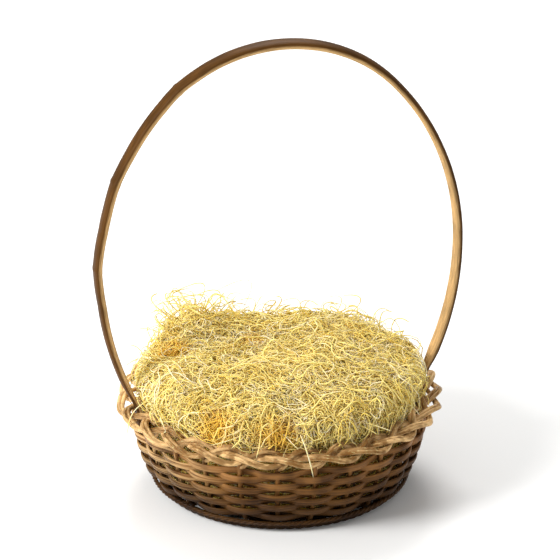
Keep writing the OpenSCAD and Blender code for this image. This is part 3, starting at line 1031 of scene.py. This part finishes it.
def hang_over_rim():
    """Strands that spill on to the border, and three that hang down outside it: one in
    front, one at the left and one at the back right."""
    rng = np.random.default_rng(5)
    count, n = 46, 16
    t = np.linspace(0, 1, n)[:, None]
    root_r, border_z = 0.090, 0.0745
    spill = over_line([(0.088, 0.078), (0.098, 0.086), (0.106, 0.079), (0.113, border_z)], t)
    angles = np.sort(rng.uniform(0, TAU, count))
    reach = rng.uniform(0.25, 1.0, count)[:, None]
    r = root_r + (spill[:, 0] - spill[0, 0]) * reach + 0.0005 * rng.normal(size=(count, 1))
    z = border_z + (spill[:, 1] - border_z) * (0.45 + 0.55 * reach)
    swerve = angles[:, None] + rng.normal(0, 0.16, (count, 1)) * t[:, 0]
    swerve = swerve + rng.normal(0, 0.05, (count, 1)) * np.sin(t[:, 0] * math.pi)
    hang = over_line([(0.090, 0.080), (0.106, 0.082), (0.1215, 0.080), (0.1228, 0.057)], t)
    hang_angles = np.radians([-95.5, -172.0, 61.0])
    r = np.concatenate([r, np.tile(hang[:, 0], (3, 1))])
    z = np.concatenate([z, np.tile(hang[:, 1], (3, 1))])
    swerve = np.concatenate([swerve, hang_angles[:, None] + 0.05 * t[:, 0] ** 2])
    width = np.concatenate([rng.uniform(0.0006, 0.0012, count), [0.0014, 0.0010, 0.0010]])
    points = ribbons(polar(r, swerve, z), width, 0.6 * width, rng, 0.4)
    tone = np.concatenate([rng.uniform(0.4, 1, count), [1.0, 0.7, 0.8]])
    straw_piece("straw_over_rim", points, tone, np.full((count + 3, n), 0.95))


# ---- stage

def aim(thing, place, target):
    """Puts a lamp or a camera at a place, facing a target."""
    thing.location = place
    thing.rotation_euler = (Vector(target) - Vector(place)).to_track_quat("-Z", "Y").to_euler()


def area_light(name, place, target, size, power):
    """A square lamp of a size in metres and a power in watts."""
    light = bpy.data.lights.new(name, "AREA")
    light.energy, light.size = power, size
    aim(add_object(name, light), place, target)


def set_stage():
    """Pale floor, soft studio light and the camera."""
    f = Finish("pale_floor", roughness=0.9)
    f.feed("Base Color", f.mix(f.noise(f.place(), 6.0), (0.86, 0.86, 0.85), (0.90, 0.90, 0.89)))
    half = 4.0
    mesh = bpy.data.meshes.new("floor")
    mesh.from_pydata([(-half, -half, 0), (half, -half, 0), (half, half, 0), (-half, half, 0)],
                     [], [(0, 1, 2, 3)])
    floor = add_object("floor", mesh)
    floor.data.materials.append(f.material)

    world = bpy.data.worlds.new("studio")
    bpy.context.scene.world = world
    world.use_nodes = True
    background = world.node_tree.nodes["Background"].inputs
    background["Color"].default_value = (1, 1, 1, 1)
    background["Strength"].default_value = 0.44
    bpy.context.scene.view_settings.view_transform = "Standard"

    middle = Vector((0.0, 0.0, 0.160))
    area_light("key_light", (-1.35, -0.4, 1.0), middle, 0.6, 33)
    area_light("fill_light", (1.2, -0.9, 0.7), middle, 1.0, 3)
    area_light("back_light", (0.3, 1.1, 1.5), middle, 0.8, 24)

    azimuth, elevation, distance = math.radians(-14), math.radians(24), 4.5
    offset = Vector((math.sin(azimuth) * math.cos(elevation),
                     -math.cos(azimuth) * math.cos(elevation), math.sin(elevation)))
    camera_data = bpy.data.cameras.new("camera")
    camera_data.lens = 395
    camera = add_object("camera", camera_data)
    aim(camera, middle + distance * offset, middle)
    bpy.context.scene.camera = camera


# ---- the add-on

class BasketSettings(bpy.types.PropertyGroup):
    """All the sizes and colours of the basket."""
    wall: PointerProperty(type=WallSizes)
    border: PointerProperty(type=BorderSizes)
    hoop: PointerProperty(type=HoopSizes)
    straw: PointerProperty(type=StrawSizes)
    colours: PointerProperty(type=Colours)


class LayBase(bpy.types.Operator):
    """Lay the base sticks and twine the rounds of the base around them"""
    bl_idname = "basket.lay_base"
    bl_label = "Lay base"

    def execute(self, context):
        lay_base_sticks()
        twine_base()
        return {"FINISHED"}


class TwistRounds(bpy.types.Operator):
    """Twist the foot ring and the upsett round under the wall"""
    bl_idname = "basket.twist_rounds"
    bl_label = "Twist rounds"

    def execute(self, context):
        twist_ring("foot_ring", radius=0.0875, height=0.00275, rod=0.0029, twist=0.00128, turns=26)
        low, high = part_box("upsett_wale")
        twist_ring("upsett_wale", radius=high[0] - 0.0017, height=(low[2] + high[2]) / 2,
                   rod=0.0018, twist=0.0008, turns=40)
        return {"FINISHED"}


class SetStakes(bpy.types.Operator):
    """Set the stakes and turn them up out of the base"""
    bl_idname = "basket.set_stakes"
    bl_label = "Set stakes"

    def execute(self, context):
        set_stakes()
        return {"FINISHED"}


class WeaveWall(bpy.types.Operator):
    """Weave the rows of the wall in and out of the stakes"""
    bl_idname = "basket.weave_wall"
    bl_label = "Weave wall"

    def execute(self, context):
        weave_wall()
        return {"FINISHED"}


class PlaitBorder(bpy.types.Operator):
    """Plait the tops of the rods into the border"""
    bl_idname = "basket.plait_border"
    bl_label = "Plait border"

    def execute(self, context):
        plait_border()
        return {"FINISHED"}


class BendHoop(bpy.types.Operator):
    """Bend the bamboo hoop and finish its pegs"""
    bl_idname = "basket.bend_hoop"
    bl_label = "Bend hoop"

    def execute(self, context):
        bend_hoop()
        for node in ("handle_peg_left", "handle_peg_right"):
            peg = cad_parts[node]
            peg.data.materials.clear()
            peg.data.materials.append(finish("base"))
        return {"FINISHED"}


class FillStraw(bpy.types.Operator):
    """Fill the basket with wood wool and heap it over the border"""
    bl_idname = "basket.fill_straw"
    bl_label = "Fill with straw"

    def execute(self, context):
        fill_core()
        lay_strands()
        lay_lower_strands()
        lay_loose()
        hang_over_rim()
        return {"FINISHED"}


class SetStage(bpy.types.Operator):
    """Set the floor, the lights and the camera"""
    bl_idname = "basket.set_stage"
    bl_label = "Set stage"

    def execute(self, context):
        set_stage()
        return {"FINISHED"}


OPERATORS = (LayBase, TwistRounds, SetStakes, WeaveWall, PlaitBorder, BendHoop, FillStraw, SetStage)


class BasketPanel(bpy.types.Panel):
    """The basket's operators, in the order in which it is made"""
    bl_idname = "BASKET_PT_build"
    bl_label = "Easter basket"
    bl_space_type = "VIEW_3D"
    bl_region_type = "UI"
    bl_category = "Basket"

    def draw(self, context):
        for operator in OPERATORS:
            self.layout.operator(operator.bl_idname)


CLASSES = (WallSizes, BorderSizes, HoopSizes, StrawSizes, Colours, BasketSettings,
           *OPERATORS, BasketPanel)


def register():
    for cls in CLASSES:
        bpy.utils.register_class(cls)
    bpy.types.Scene.basket = PointerProperty(type=BasketSettings)


def unregister():
    del bpy.types.Scene.basket
    for cls in reversed(CLASSES):
        bpy.utils.unregister_class(cls)


def main():
    register()
    for operator in OPERATORS:
        group, name = operator.bl_idname.split(".")
        getattr(getattr(bpy.ops, group), name)()


if __name__ == "__main__":
    main()
